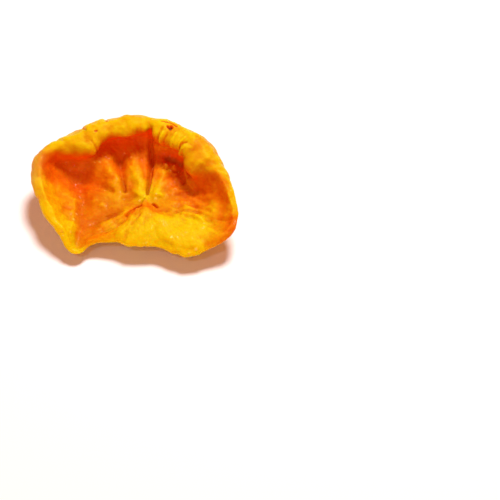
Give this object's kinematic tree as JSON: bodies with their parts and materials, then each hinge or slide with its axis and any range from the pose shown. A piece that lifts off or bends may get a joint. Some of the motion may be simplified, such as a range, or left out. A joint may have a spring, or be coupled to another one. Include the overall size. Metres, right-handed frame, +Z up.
{
  "type": "dried persimmon half",
  "caption": "Half of a peeled, dried persimmon, curled into a shallow cup with a rolled rim, radial ribs and grooves, a pinched tip and a flat spot to rest on.",
  "frame": {"origin": "middle of the flat spot that the piece rests on, under its weight", "axes": "+X along the cup's length, from the pinched tip's side to the other; +Y from the low front flap to the high rolled rim; +Z up, out of the cup"},
  "size_m": [0.0643, 0.0476, 0.0212],
  "materials": {
    "flesh": "moist, translucent, semi-gloss dried fruit flesh"
  },
  "bodies": {
    "root": {"persimmon_flesh": "flesh"}
  },
  "joints": []
}
